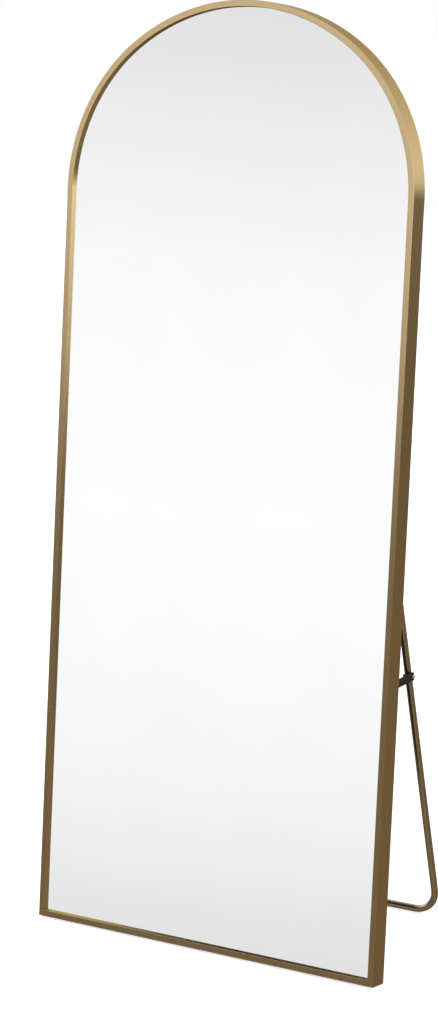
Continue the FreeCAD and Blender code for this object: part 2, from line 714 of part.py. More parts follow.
def foot_pad(side):
    """One foot, under the bottom rail near a corner."""
    heel = FRAME_DEPTH - FOOT_BACK_MARGIN
    toe = heel - FOOT_DEPTH

    def sole(y):
        return (y * math.sin(lean) - floor_drop) / math.cos(lean)

    outer = side * (half_width - FOOT_FROM_SIDE)
    corners = [(toe, 0), (heel, 0), (heel, sole(heel)), (toe, sole(toe))]
    points = [Vector(outer, y, z) for y, z in corners]
    return Part.Face(Part.makePolygon(points + points[:1])).extrude(X_AXIS * (-side * FOOT_LENGTH))


def foot_pieces():
    """Both feet."""
    return {"foot_pad_" + name: foot_pad(side) for name, side in SIDES.items()}


# Lean the whole mirror back, stand it on the floor and write each piece

def stand_on_floor(shape):
    """Lean a piece back and set it over the middle of its floor area."""
    shape.rotate(Vector(0, 0, 0), X_AXIS, -LEAN_ANGLE)
    shape.translate(Vector(0, -depth_on_floor / 2, floor_drop))


os.makedirs("parts", exist_ok=True)
groups = [frame_pieces, corner_pieces, glass_pack, rail_pieces, hinge_pieces,
          stand_pieces, stay_pieces, hanger_pieces, foot_pieces]
for group in groups:
    for name, shape in group().items():
        stand_on_floor(shape)
        shape.exportStep("parts/" + name + ".step")
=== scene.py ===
import json
import math

import bmesh
import bpy
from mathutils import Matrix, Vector


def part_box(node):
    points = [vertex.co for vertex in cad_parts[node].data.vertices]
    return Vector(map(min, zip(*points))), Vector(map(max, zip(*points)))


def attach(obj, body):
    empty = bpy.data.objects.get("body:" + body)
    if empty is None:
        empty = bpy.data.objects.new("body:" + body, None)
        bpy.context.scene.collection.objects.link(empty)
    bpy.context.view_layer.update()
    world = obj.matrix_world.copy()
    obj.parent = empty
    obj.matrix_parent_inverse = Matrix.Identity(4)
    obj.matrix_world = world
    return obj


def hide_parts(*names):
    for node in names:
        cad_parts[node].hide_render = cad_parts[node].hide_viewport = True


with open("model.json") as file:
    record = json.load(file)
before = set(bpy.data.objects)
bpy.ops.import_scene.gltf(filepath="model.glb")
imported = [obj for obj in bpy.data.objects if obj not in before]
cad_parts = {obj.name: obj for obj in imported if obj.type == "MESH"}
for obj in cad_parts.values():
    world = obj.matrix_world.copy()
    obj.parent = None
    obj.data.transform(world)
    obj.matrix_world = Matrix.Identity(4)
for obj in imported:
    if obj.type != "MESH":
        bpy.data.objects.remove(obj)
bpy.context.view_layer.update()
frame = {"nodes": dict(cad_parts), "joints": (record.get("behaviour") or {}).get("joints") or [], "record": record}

# Mirror as a whole. It stands on its lower edge and leans back on its stand. Pieces of the frame
# are drawn upright, with the frame's lower front edge on the X axis, and are then leaned back.
GLASS_FRONT = 0.007
GLASS_THICKNESS = 0.004
GLASS_INSET = 0.003
nodes = frame["nodes"]
joints = {joint["name"]: joint for joint in frame["joints"]}
mounts = {mount["name"]: mount for mount in frame["record"]["mounts"]}
back_normal = Vector(mounts["wall_hanger_holes"]["axis"])
lean = math.atan2(-back_normal.z, back_normal.y)
glass_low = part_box("mirror_glass")[0]
front_edge = Vector((
    0,
    glass_low.y - GLASS_FRONT * math.cos(lean) - GLASS_INSET * math.sin(lean),
    glass_low.z + (GLASS_FRONT + GLASS_THICKNESS) * math.sin(lean) - GLASS_INSET * math.cos(lean),
))


# Frame arch. One length of aluminium extrusion, bent to both stiles and the arch. A bar in front
# holds the glass, a groove behind it takes the glass pack, and an open channel runs round the back.
# It is brushed, upright in front and lengthwise on its walls, and anodised in a brass tone.
FRAME_FACE = 0.012
FRAME_DEPTH = 0.039
FRAME_WALL = 0.0015
RIB_FRONT = 0.0195
RIB_WIDTH = 0.009
SHOULDER_CENTRE_OUT = 0.041
SHOULDER_STEPS = 44
CROWN_HALF_ANGLE = math.radians(35.3)
CROWN_STEPS = 64
FRONT_ROUND = 0.0007
FRONT_ROUND_STEPS = 3
EDGE_ROUND = 0.0003
EDGE_ROUND_STEPS = 2
MERGE_DISTANCE = 0.00003
MITRE_SPARE = 0.005
FACING_FRONT = math.cos(math.radians(45))
FRAME_SMOOTH_ANGLE = math.radians(50)
LARGE_FACES_FIRST = 100
arch_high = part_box("frame_arch")[1]
half_width = arch_high.x
mirror_height = (arch_high.z - front_edge.z) / math.cos(lean)
shoulder_radius = half_width - SHOULDER_CENTRE_OUT
crown_radius = shoulder_radius + SHOULDER_CENTRE_OUT / math.sin(CROWN_HALF_ANGLE)
crown_centre = mirror_height - crown_radius
spring_height = crown_centre + SHOULDER_CENTRE_OUT / math.tan(CROWN_HALF_ANGLE)


def select_points(piece, wanted):
    """In edit mode, selects the points that a test wants, and nothing else."""
    shape = bmesh.from_edit_mesh(piece.data)
    for vertex in shape.verts:
        vertex.select_set(wanted(vertex.co))
    shape.select_flush(True)
    bmesh.update_edit_mesh(piece.data)


def draw_section(name, corner, inward):
    """Draws the extrusion's section from its outer front corner, and leaves it in edit mode."""
    outline = [
        (FRAME_FACE, 0), (FRAME_FACE, GLASS_FRONT), (FRAME_WALL, GLASS_FRONT), (FRAME_WALL, RIB_FRONT),
        (RIB_WIDTH, RIB_FRONT), (RIB_WIDTH, RIB_FRONT + FRAME_WALL), (FRAME_WALL, RIB_FRONT + FRAME_WALL),
        (FRAME_WALL, FRAME_DEPTH - FRAME_WALL), (FRAME_FACE, FRAME_DEPTH - FRAME_WALL),
        (FRAME_FACE, FRAME_DEPTH), (0, FRAME_DEPTH), (0, 0),
    ]
    bpy.ops.object.select_all(action="DESELECT")
    bpy.ops.mesh.primitive_plane_add(size=FRAME_FACE, location=corner)
    piece = bpy.context.object
    piece.name = name
    bpy.ops.object.transform_apply(location=True)
    bpy.ops.object.mode_set(mode="EDIT")
    bpy.ops.mesh.select_all(action="SELECT")
    bpy.ops.mesh.merge(type="CENTER")
    here = Vector((0, 0, 0))
    for inset, depth in outline:
        place = inward * inset + Vector((0, depth, 0))
        bpy.ops.mesh.extrude_vertices_move(TRANSFORM_OT_translate={"value": place - here})
        here = place
    bpy.ops.mesh.select_all(action="SELECT")
    bpy.ops.mesh.remove_doubles(threshold=MERGE_DISTANCE)
    bpy.ops.mesh.edge_face_add()
    front = corner.y + EDGE_ROUND
    select_points(piece, lambda point: point.y < front)
    bpy.ops.mesh.bevel(offset=FRONT_ROUND, segments=FRONT_ROUND_STEPS, affect="VERTICES")
    select_points(piece, lambda point: point.y > front + FRONT_ROUND)
    bpy.ops.mesh.bevel(offset=EDGE_ROUND, segments=EDGE_ROUND_STEPS, affect="VERTICES")
    bpy.ops.mesh.select_all(action="SELECT")
    bpy.ops.mesh.delete(type="ONLY_FACE")
    bpy.ops.mesh.select_all(action="SELECT")
    return piece


def cut_mitre(piece, side, keep_stile):
    """In edit mode, cuts one end at 45 degrees through a lower corner, and closes the cut."""
    reach = spring_height + MITRE_SPARE / 2
    bpy.ops.mesh.select_all(action="SELECT")
    if keep_stile:
        select_points(piece, lambda point: point.x * side > half_width / 2 and point.z < reach)
    bpy.ops.mesh.bisect(
        plane_co=(side * half_width, 0, 0), plane_no=(side, 0, 1),
        clear_inner=keep_stile, clear_outer=not keep_stile,
    )
    bpy.ops.mesh.edge_face_add()


def finish_extrusion(piece, along):
    """Maps the brushing, upright in front and lengthwise on the walls, and leans the piece back."""
    bpy.ops.mesh.select_all(action="SELECT")
    bpy.ops.mesh.normals_make_consistent(inside=False)
    bpy.ops.object.mode_set(mode="OBJECT")
    brushing = piece.data.uv_layers.new(name="brushing")
    for face in piece.data.polygons:
        faces_front = abs(face.normal.y) > FACING_FRONT
        for corner in face.loop_indices:
            place = piece.data.vertices[piece.data.loops[corner].vertex_index].co
            brushing.data[corner].uv = (place.x, place.z) if faces_front else (place.y, along(place))
    piece.rotation_euler = (-lean, 0, 0)
    piece.location = front_edge
    bpy.ops.object.transform_apply(location=True, rotation=True)
    bpy.ops.object.shade_smooth_by_angle(angle=FRAME_SMOOTH_ANGLE)
    flat_faces = piece.modifiers.new("flat_faces", "WEIGHTED_NORMAL")
    flat_faces.keep_sharp = True
    flat_faces.weight = LARGE_FACES_FIRST
    bpy.ops.object.modifier_apply(modifier="flat_faces")


def along_frame(place):
    """About how far a point lies along the bent extrusion, from the right foot to the left."""
    if place.z > spring_height:
        return spring_height + half_width * math.atan2(place.z - spring_height, place.x)
    if place.x > 0:
        return place.z
    return 2 * spring_height + math.pi * half_width - place.z


right_foot = Vector((half_width, 0, -MITRE_SPARE))
frame_arch = draw_section("frame_arch_brushed", right_foot, Vector((-1, 0, 0)))
straight = spring_height + MITRE_SPARE
shoulder_turn = math.pi / 2 - CROWN_HALF_ANGLE
bpy.ops.mesh.extrude_region_move(TRANSFORM_OT_translate={"value": (0, 0, straight)})
for centre_x, centre_z, turn, steps in (
    (SHOULDER_CENTRE_OUT, spring_height, shoulder_turn, SHOULDER_STEPS),
    (0, crown_centre, 2 * CROWN_HALF_ANGLE, CROWN_STEPS),
    (-SHOULDER_CENTRE_OUT, spring_height, shoulder_turn, SHOULDER_STEPS),
):
    bpy.ops.mesh.spin(steps=steps, angle=turn, center=(centre_x, 0, centre_z), axis=(0, 1, 0))
bpy.ops.mesh.extrude_region_move(TRANSFORM_OT_translate={"value": (0, 0, -straight)})
for side in (-1, 1):
    cut_mitre(frame_arch, side, True)
finish_extrusion(frame_arch, along_frame)


def srgb(hex_colour):
    """A hex colour as the linear colour that a shader takes."""
    shares = [int(hex_colour[i:i + 2], 16) / 255 for i in (1, 3, 5)]
    return [share / 12.92 if share < 0.04045 else ((share + 0.055) / 1.055) ** 2.4 for share in shares] + [1]


def feed(owner, node, inputs):
    """Sets each input of a node to a value, or links it to a socket."""
    for name, value in inputs.items():
        if isinstance(value, bpy.types.NodeSocket):
            owner.node_tree.links.new(value, node.inputs[name])
        else:
            node.inputs[name].default_value = value


def add_node(owner, kind, inputs=None, **settings):
    """Adds a node to a material or a world, with its settings and inputs."""
    node = owner.node_tree.nodes.new(kind)
    for name, value in settings.items():
        setattr(node, name, value)
    feed(owner, node, inputs or {})
    return node


def new_material(name):
    """A node material and its surface node."""
    material = bpy.data.materials.new(name)
    material.use_nodes = True
    return material, material.node_tree.nodes["Principled BSDF"]


# A colour mix's sockets go by number: its factor, its two colours and the colour that it gives.
FACTOR, FIRST, SECOND, MIXED = 0, 6, 7, 2

# Anodised aluminium, brushed: fine long scratches that vary the gloss a little, and stretch each
# reflection across them. Real scratches are about 0.1 mm apart; these are drawn at 0.5 mm to show.
SCRATCH_SPACING = 0.0005
SCRATCH_LENGTH = 0.06
brushed, surface = new_material("brushed_brass_tone_anodised_aluminium")
uv = add_node(brushed, "ShaderNodeUVMap", uv_map="brushing")
stretched = add_node(brushed, "ShaderNodeMapping", {
    "Vector": uv.outputs["UV"],
    "Scale": (1 / SCRATCH_SPACING, 1 / SCRATCH_LENGTH, 1),
})
scratches = add_node(brushed, "ShaderNodeTexNoise", {
    "Vector": stretched.outputs["Vector"], "Scale": 1, "Detail": 3,
}, noise_dimensions="2D")
tone = add_node(brushed, "ShaderNodeMix", {
    FACTOR: scratches.outputs["Fac"], FIRST: srgb("#9d8562"), SECOND: srgb("#a78e68"),
}, data_type="RGBA")
gloss = add_node(brushed, "ShaderNodeMapRange", {
    "Value": scratches.outputs["Fac"], "To Min": 0.25, "To Max": 0.29,
})
grooves = add_node(brushed, "ShaderNodeBump", {
    "Height": scratches.outputs["Fac"], "Strength": 0.03, "Distance": 0.0001,
})
tangent = add_node(brushed, "ShaderNodeTangent", direction_type="UV_MAP", uv_map="brushing")
feed(brushed, surface, {
    "Base Color": tone.outputs[MIXED], "Metallic": 1, "Specular Tint": srgb("#d8c09a"),
    "Roughness": gloss.outputs["Result"], "Normal": grooves.outputs["Normal"],
    "Anisotropic": 1, "Tangent": tangent.outputs["Tangent"],
})
frame_arch.data.materials.append(brushed)
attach(frame_arch, "mirror")
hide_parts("frame_arch")


# Bottom rail. A straight length of the same extrusion and finish, which closes the frame below the
# glass. It is cut at 45 degrees at both ends, butted to the stiles and held by the corner keys.
left_foot = Vector((-half_width - MITRE_SPARE, 0, 0))
bottom_rail = draw_section("bottom_rail_brushed", left_foot, Vector((0, 0, 1)))
length = 2 * (half_width + MITRE_SPARE)
bpy.ops.mesh.extrude_region_move(TRANSFORM_OT_translate={"value": (length, 0, 0)})
for side in (-1, 1):
    cut_mitre(bottom_rail, side, False)
finish_extrusion(bottom_rail, lambda place: place.x)
bottom_rail.data.materials.append(brushed)
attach(bottom_rail, "mirror")
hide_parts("bottom_rail")


# Corner keys. Zinc castings in the frame's channel, one across each mitre, with two screws each.
# They hold the bottom rail to the stiles.
KEY_EDGE = 0.0003
SCREW_EDGE = 0.00015
EDGE_STEPS = 2
EDGE_ANGLE = math.radians(40)
FLAT_ANGLE = math.radians(0.5)
MERGE_SHARE = 0.05


def dress(names, material, edge_round):
    """Gives carried-over pieces their finish, and rounds their edges on a merged mesh with whole faces."""
    for name in names:
        piece = nodes[name]
        for holder in piece.material_slots:
            holder.material = material
        merged = piece.modifiers.new("merged", "WELD")
        merged.merge_threshold = edge_round * MERGE_SHARE
        whole = piece.modifiers.new("whole_faces", "DECIMATE")
        whole.decimate_type = "DISSOLVE"
        whole.angle_limit = FLAT_ANGLE
        rounded = piece.modifiers.new("rounded_edges", "BEVEL")
        rounded.width = edge_round
        rounded.segments = EDGE_STEPS
        rounded.limit_method = "ANGLE"
        rounded.angle_limit = EDGE_ANGLE
        rounded.loop_slide = False
        rounded.use_clamp_overlap = False
        flat = piece.modifiers.new("flat_faces", "WEIGHTED_NORMAL")
        flat.weight = LARGE_FACES_FIRST


# Die-cast zinc, as it comes from the mould: dull grey, with flow marks about 4 mm across.
FLOW_MARK = 0.004
cast_zinc, surface = new_material("die_cast_zinc")
local = add_node(cast_zinc, "ShaderNodeTexCoord")
flow = add_node(cast_zinc, "ShaderNodeTexNoise", {
    "Vector": local.outputs["Object"], "Scale": 1 / FLOW_MARK, "Detail": 4,
})
tone = add_node(cast_zinc, "ShaderNodeMix", {
    FACTOR: flow.outputs["Fac"], FIRST: srgb("#85878a"), SECOND: srgb("#a3a5a7"),
}, data_type="RGBA")
gloss = add_node(cast_zinc, "ShaderNodeMapRange", {
    "Value": flow.outputs["Fac"], "To Min": 0.4, "To Max": 0.6,
})
skin = add_node(cast_zinc, "ShaderNodeBump", {
    "Height": flow.outputs["Fac"], "Strength": 0.2, "Distance": 0.0002,
})
feed(cast_zinc, surface, {
    "Base Color": tone.outputs[MIXED], "Metallic": 1,
    "Roughness": gloss.outputs["Result"], "Normal": skin.outputs["Normal"],
})
dress(["corner_key_left", "corner_key_right"], cast_zinc, KEY_EDGE)

# Zinc-plated steel: bright blue-grey plating, a little cloudy, with cloud patches about 2 mm across.
PLATING_CLOUD = 0.002
plated, surface = new_material("bright_zinc_plated_steel")
local = add_node(plated, "ShaderNodeTexCoord")
cloud = add_node(plated, "ShaderNodeTexNoise", {
    "Vector": local.outputs["Object"], "Scale": 1 / PLATING_CLOUD, "Detail": 3,
})
tone = add_node(plated, "ShaderNodeMix", {
    FACTOR: cloud.outputs["Fac"], FIRST: srgb("#a9adb2"), SECOND: srgb("#cfd2d4"),
}, data_type="RGBA")
gloss = add_node(plated, "ShaderNodeMapRange", {
    "Value": cloud.outputs["Fac"], "To Min": 0.18, "To Max": 0.34,
})
feed(plated, surface, {
    "Base Color": tone.outputs[MIXED], "Metallic": 1, "Roughness": gloss.outputs["Result"],
})
dress(["corner_screws"], plated, SCREW_EDGE)


# Glass pack. A pane of silvered float glass, a safety film on its back, a foam sheet and a backing
# board. They lie in the frame's groove, one behind the other.
GLASS_EDGE = 0.0005
FILM_EDGE = 0.00005
FOAM_EDGE = 0.0002
BOARD_EDGE = 0.0003

# Silvered float glass: an almost perfect mirror, faintly green, with ripples about 150 mm apart.
FLOAT_RIPPLE = 0.15
silvered, surface = new_material("silvered_float_glass")
local = add_node(silvered, "ShaderNodeTexCoord")
ripple = add_node(silvered, "ShaderNodeTexNoise", {
    "Vector": local.outputs["Object"], "Scale": 1 / FLOAT_RIPPLE, "Detail": 1,
})
tone = add_node(silvered, "ShaderNodeMix", {
    FACTOR: ripple.outputs["Fac"], FIRST: srgb("#f4f6f5"), SECOND: srgb("#f8f8f8"),
}, data_type="RGBA")
wave = add_node(silvered, "ShaderNodeBump", {
    "Height": ripple.outputs["Fac"], "Strength": 0.05, "Distance": 0.0005,
})
feed(silvered, surface, {
    "Base Color": tone.outputs[MIXED], "Metallic": 1, "Roughness": 0, "Normal": wave.outputs["Normal"],
})
dress(["mirror_glass"], silvered, GLASS_EDGE)

# Polythene safety film: woven-backed and grey-blue, with threads 1.5 mm apart.
FILM_THREAD = 0.0015
film, surface = new_material("woven_polythene_film")
local = add_node(film, "ShaderNodeTexCoord")
weave = add_node(film, "ShaderNodeTexChecker", {
    "Vector": local.outputs["Object"], "Scale": 1 / FILM_THREAD,
    "Color1": srgb("#6b7a84"), "Color2": srgb("#5e6c75"),
})
feed(film, surface, {"Base Color": weave.outputs["Color"], "Roughness": 0.4})
dress(["safety_film"], film, FILM_EDGE)

# Polythene foam: white, closed cells about 1.2 mm across.
FOAM_CELL = 0.0012
foam, surface = new_material("white_polythene_foam")
local = add_node(foam, "ShaderNodeTexCoord")
cells = add_node(foam, "ShaderNodeTexVoronoi", {
    "Vector": local.outputs["Object"], "Scale": 1 / FOAM_CELL,
})
tone = add_node(foam, "ShaderNodeMix", {
    FACTOR: cells.outputs["Distance"], FIRST: srgb("#e9e9e6"), SECOND: srgb("#d2d2ce"),
}, data_type="RGBA")
dents = add_node(foam, "ShaderNodeBump", {
    "Height": cells.outputs["Distance"], "Strength": 0.4, "Distance": 0.0004,
})
feed(foam, surface, {
    "Base Color": tone.outputs[MIXED], "Roughness": 0.75, "Normal": dents.outputs["Normal"],
})
dress(["foam_sheet"], foam, FOAM_EDGE)

# Fibreboard faced with charcoal paper: fibre flecks 3 mm long under a slightly cloudy, matt face.
FIBRE = 0.003
PAPER_CLOUD = 0.08
board, surface = new_material("charcoal_faced_fibreboard")
local = add_node(board, "ShaderNodeTexCoord")
fibre = add_node(board, "ShaderNodeTexNoise", {
    "Vector": local.outputs["Object"], "Scale": 1 / FIBRE, "Detail": 6, "Roughness": 0.7,
})
cloud = add_node(board, "ShaderNodeTexNoise", {
    "Vector": local.outputs["Object"], "Scale": 1 / PAPER_CLOUD, "Detail": 3,
})
tone = add_node(board, "ShaderNodeMix", {
    FACTOR: fibre.outputs["Fac"], FIRST: srgb("#161513"), SECOND: srgb("#302e2a"),
}, data_type="RGBA")
tooth = add_node(board, "ShaderNodeBump", {
    "Height": fibre.outputs["Fac"], "Strength": 0.25, "Distance": 0.0003,
})
gloss = add_node(board, "ShaderNodeMapRange", {
    "Value": cloud.outputs["Fac"], "To Min": 0.6, "To Max": 0.8,
})
feed(board, surface, {
    "Base Color": tone.outputs[MIXED],
    "Roughness": gloss.outputs["Result"], "Normal": tooth.outputs["Normal"],
})
dress(["backing_board"], board, BOARD_EDGE)


# Cross rails. Two rectangular aluminium tubes between the stiles, screwed through the rear lips. They
# carry the stand's hinges and the stays.
RAIL_EDGE = 0.0003

# Mill-finish aluminium: die lines along the rail, really about 0.3 mm apart and drawn at 1 mm to show.
DIE_LINE = 0.001
DIE_LINE_LENGTH = 0.3
mill, surface = new_material("mill_finish_aluminium")
local = add_node(mill, "ShaderNodeTexCoord")
drawn = add_node(mill, "ShaderNodeMapping", {
    "Vector": local.outputs["Object"],
    "Scale": (1 / DIE_LINE_LENGTH, 1 / DIE_LINE, 1 / DIE_LINE),
})
lines = add_node(mill, "ShaderNodeTexNoise", {
    "Vector": drawn.outputs["Vector"], "Scale": 1, "Detail": 3,
})
tone = add_node(mill, "ShaderNodeMix", {
    FACTOR: lines.outputs["Fac"], FIRST: srgb("#a1a3a5"), SECOND: srgb("#c4c5c6"),
}, data_type="RGBA")
gloss = add_node(mill, "ShaderNodeMapRange", {
    "Value": lines.outputs["Fac"], "To Min": 0.3, "To Max": 0.48,
})
grooves = add_node(mill, "ShaderNodeBump", {
    "Height": lines.outputs["Fac"], "Strength": 0.1, "Distance": 0.0002,
})
feed(mill, surface, {
    "Base Color": tone.outputs[MIXED], "Metallic": 1,
    "Roughness": gloss.outputs["Result"], "Normal": grooves.outputs["Normal"],
})
dress(["upper_cross_rail", "lower_cross_rail"], mill, RAIL_EDGE)
dress(["cross_rail_screws"], plated, SCREW_EDGE)


# Stand hinges. Folded steel brackets on the upper rail, each with a bolt and a lock nut through a
# nylon bush in the stand's leg. The brackets are powder coated black.
BRACKET_EDGE = 0.0003
BOLT_EDGE = 0.0003
BUSH_EDGE = 0.0002

# Powder coat, satin black: fine orange peel, really about 0.5 mm and drawn at 1 mm to show.
ORANGE_PEEL = 0.001
powder, surface = new_material("satin_black_powder_coat")
local = add_node(powder, "ShaderNodeTexCoord")
peel = add_node(powder, "ShaderNodeTexNoise", {
    "Vector": local.outputs["Object"], "Scale": 1 / ORANGE_PEEL, "Detail": 2,
})
tone = add_node(powder, "ShaderNodeMix", {
    FACTOR: peel.outputs["Fac"], FIRST: srgb("#16100d"), SECOND: srgb("#221914"),
}, data_type="RGBA")
gloss = add_node(powder, "ShaderNodeMapRange", {
    "Value": peel.outputs["Fac"], "To Min": 0.34, "To Max": 0.5,
})
bumps = add_node(powder, "ShaderNodeBump", {
    "Height": peel.outputs["Fac"], "Strength": 0.2, "Distance": 0.0001,
})
feed(powder, surface, {
    "Base Color": tone.outputs[MIXED], "Specular IOR Level": 0.12,
    "Roughness": gloss.outputs["Result"], "Normal": bumps.outputs["Normal"],
})
dress(["hinge_bracket_left", "hinge_bracket_right"], powder, BRACKET_EDGE)
dress(["hinge_bolt_left", "hinge_bolt_right", "hinge_nuts"], plated, BOLT_EDGE)
dress(["hinge_bracket_screws"], plated, SCREW_EDGE)

# Natural nylon, machined: waxy ivory with turning marks 0.4 mm apart. The bands of a wave texture of
# scale 1 are WAVE_PERIOD apart.
TURNING_MARK = 0.0004
WAVE_PERIOD = math.pi / 10
nylon, surface = new_material("natural_nylon")
local = add_node(nylon, "ShaderNodeTexCoord")
marks = add_node(nylon, "ShaderNodeTexWave", {
    "Vector": local.outputs["Object"], "Scale": WAVE_PERIOD / TURNING_MARK, "Distortion": 0.5,
}, bands_direction="X")
tone = add_node(nylon, "ShaderNodeMix", {
    FACTOR: marks.outputs["Fac"], FIRST: srgb("#d8d2c0"), SECOND: srgb("#e5e0d2"),
}, data_type="RGBA")
feed(nylon, surface, {"Base Color": tone.outputs[MIXED], "Roughness": 0.42, "IOR": 1.53})
dress(["hinge_bush_left", "hinge_bush_right"], nylon, BUSH_EDGE)


# Stand. One steel tube bent to a U: two legs, hinged at their tops, and a bar on the floor. It is
# plated in the frame's brass tone, has a moulded cap in each end, and a stud on each leg for a stay.
TUBE_RADIUS = 0.007
TUBE_WALL = 0.0012
TUBE_SIDES = 40
TUBE_BEND = 0.051
TUBE_BEND_STEPS = 20
TUBE_OVER_HINGE = 0.0085
TUBE_SMOOTH_ANGLE = math.radians(30)
CAP_EDGE = 0.0002
STUD_EDGE = 0.0001
NUT_EDGE = 0.0003
hinge = Vector(joints["stand_hinge"]["pos_m"])
stand_turn = math.radians(-joints["stand_hinge"]["range_deg"][0]) - lean
leg_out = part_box("stand_tube")[1].x - TUBE_RADIUS
leg_length = (hinge.z - TUBE_RADIUS) / math.cos(stand_turn)
leg_run = leg_length + TUBE_OVER_HINGE - TUBE_BEND
bar_run = 2 * (leg_out - TUBE_BEND)
left_end = (-leg_out, 0, TUBE_OVER_HINGE)
bpy.ops.object.select_all(action="DESELECT")
bpy.ops.mesh.primitive_circle_add(vertices=TUBE_SIDES, radius=TUBE_RADIUS, location=left_end)
stand_tube = bpy.context.object
stand_tube.name = "stand_tube_bent"
bpy.ops.object.transform_apply(location=True)
bpy.ops.object.mode_set(mode="EDIT")
bpy.ops.mesh.select_all(action="SELECT")
bpy.ops.mesh.extrude_region_move(TRANSFORM_OT_translate={"value": (0, 0, -leg_run)})
for side, next_run in ((-1, (bar_run, 0, 0)), (1, (0, 0, leg_run))):
    bend_centre = (side * (leg_out - TUBE_BEND), 0, TUBE_BEND - leg_length)
    bpy.ops.mesh.spin(steps=TUBE_BEND_STEPS, angle=math.pi / 2, center=bend_centre, axis=(0, 1, 0))
    bpy.ops.mesh.extrude_region_move(TRANSFORM_OT_translate={"value": next_run})
bpy.ops.mesh.select_all(action="SELECT")
bpy.ops.mesh.remove_doubles(threshold=MERGE_DISTANCE)
bpy.ops.mesh.normals_make_consistent(inside=False)
bpy.ops.object.mode_set(mode="OBJECT")
wall = stand_tube.modifiers.new("wall", "SOLIDIFY")
wall.thickness = TUBE_WALL
wall.offset = -1
bpy.ops.object.modifier_apply(modifier="wall")
stand_tube.rotation_euler = (stand_turn, 0, 0)
stand_tube.location = hinge
bpy.ops.object.transform_apply(location=True, rotation=True)
bpy.ops.object.shade_smooth_by_angle(angle=TUBE_SMOOTH_ANGLE)

# Brass-tone plating on drawn tube: a satin gloss, with a faint grain that the die leaves. The real grain
# is finer, and is 1.5 mm here to show.
TUBE_GRAIN = 0.0015
gilt, surface = new_material("satin_brass_tone_plated_steel")
local = add_node(gilt, "ShaderNodeTexCoord")
grain = add_node(gilt, "ShaderNodeTexNoise", {
    "Vector": local.outputs["Object"], "Scale": 1 / TUBE_GRAIN, "Detail": 3,
})
tone = add_node(gilt, "ShaderNodeMix", {
    FACTOR: grain.outputs["Fac"], FIRST: srgb("#947f64"), SECOND: srgb("#a58f6f"),
}, data_type="RGBA")
gloss = add_node(gilt, "ShaderNodeMapRange", {
    "Value": grain.outputs["Fac"], "To Min": 0.16, "To Max": 0.26,
})
feed(gilt, surface, {
    "Base Color": tone.outputs[MIXED], "Metallic": 1, "Roughness": gloss.outputs["Result"],
})
stand_tube.data.materials.append(gilt)
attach(stand_tube, "stand")
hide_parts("stand_tube")

# Moulded polythene, black: a fine spark texture, really about 0.2 mm and drawn at 0.6 mm to show.
SPARK_TEXTURE = 0.0006
moulded, surface = new_material("black_moulded_polythene")
local = add_node(moulded, "ShaderNodeTexCoord")
spark = add_node(moulded, "ShaderNodeTexNoise", {
    "Vector": local.outputs["Object"], "Scale": 1 / SPARK_TEXTURE, "Detail": 2,
})
tone = add_node(moulded, "ShaderNodeMix", {
    FACTOR: spark.outputs["Fac"], FIRST: srgb("#181716"), SECOND: srgb("#242220"),
}, data_type="RGBA")
bumps = add_node(moulded, "ShaderNodeBump", {
    "Height": spark.outputs["Fac"], "Strength": 0.3, "Distance": 0.0001,
})
feed(moulded, surface, {
    "Base Color": tone.outputs[MIXED], "Roughness": 0.5, "Normal": bumps.outputs["Normal"],
})
dress(["tube_cap_left", "tube_cap_right"], moulded, CAP_EDGE)
dress(["hook_stud_left", "hook_stud_right"], plated, STUD_EDGE)
dress(["stud_nuts"], plated, NUT_EDGE)


# Stays. Two flat steel bars, pivoted on brackets on the lower rail and hooked over studs on the legs.
# Bars and brackets are powder coated black like the hinges. The pivots are plated bolts with nuts.
STAY_EDGE = 0.0003
PIVOT_EDGE = 0.0003
dress(["stay_left", "stay_right", "stay_bracket_left", "stay_bracket_right"], powder, STAY_EDGE)
dress(["stay_pivot_left", "stay_pivot_right", "stay_pivot_nuts"], plated, PIVOT_EDGE)
dress(["stay_bracket_screws"], plated, SCREW_EDGE)


# Wall hangers. Two plated steel plates, stamped, each with a hole for a wall hook. They are screwed to
# the stiles' rear lips, for hanging the mirror without its stand.
HANGER_EDGE = 0.0003
dress(["wall_hanger_left", "wall_hanger_right"], plated, HANGER_EDGE)
dress(["wall_hanger_screws"], plated, SCREW_EDGE)


# Feet. Two moulded rubber pads, glued under the bottom rail, so that the mirror doesn't slide. Their
# soles are level on the floor, though the rail leans.
FOOT_EDGE = 0.0004

# Black rubber: dull, with a fine sanded grain of about 0.8 mm.
RUBBER_GRAIN = 0.0008
rubber, surface = new_material("black_moulded_rubber")
local = add_node(rubber, "ShaderNodeTexCoord")
grain = add_node(rubber, "ShaderNodeTexNoise", {
    "Vector": local.outputs["Object"], "Scale": 1 / RUBBER_GRAIN, "Detail": 3,
})
tone = add_node(rubber, "ShaderNodeMix", {
    FACTOR: grain.outputs["Fac"], FIRST: srgb("#1b1a19"), SECOND: srgb("#2b2928"),
}, data_type="RGBA")
bumps = add_node(rubber, "ShaderNodeBump", {
    "Height": grain.outputs["Fac"], "Strength": 0.4, "Distance": 0.0002,
})
feed(rubber, surface, {
    "Base Color": tone.outputs[MIXED], "Roughness": 0.8, "Normal": bumps.outputs["Normal"],
})
dress(["foot_pad_left", "foot_pad_right"], rubber, FOOT_EDGE)


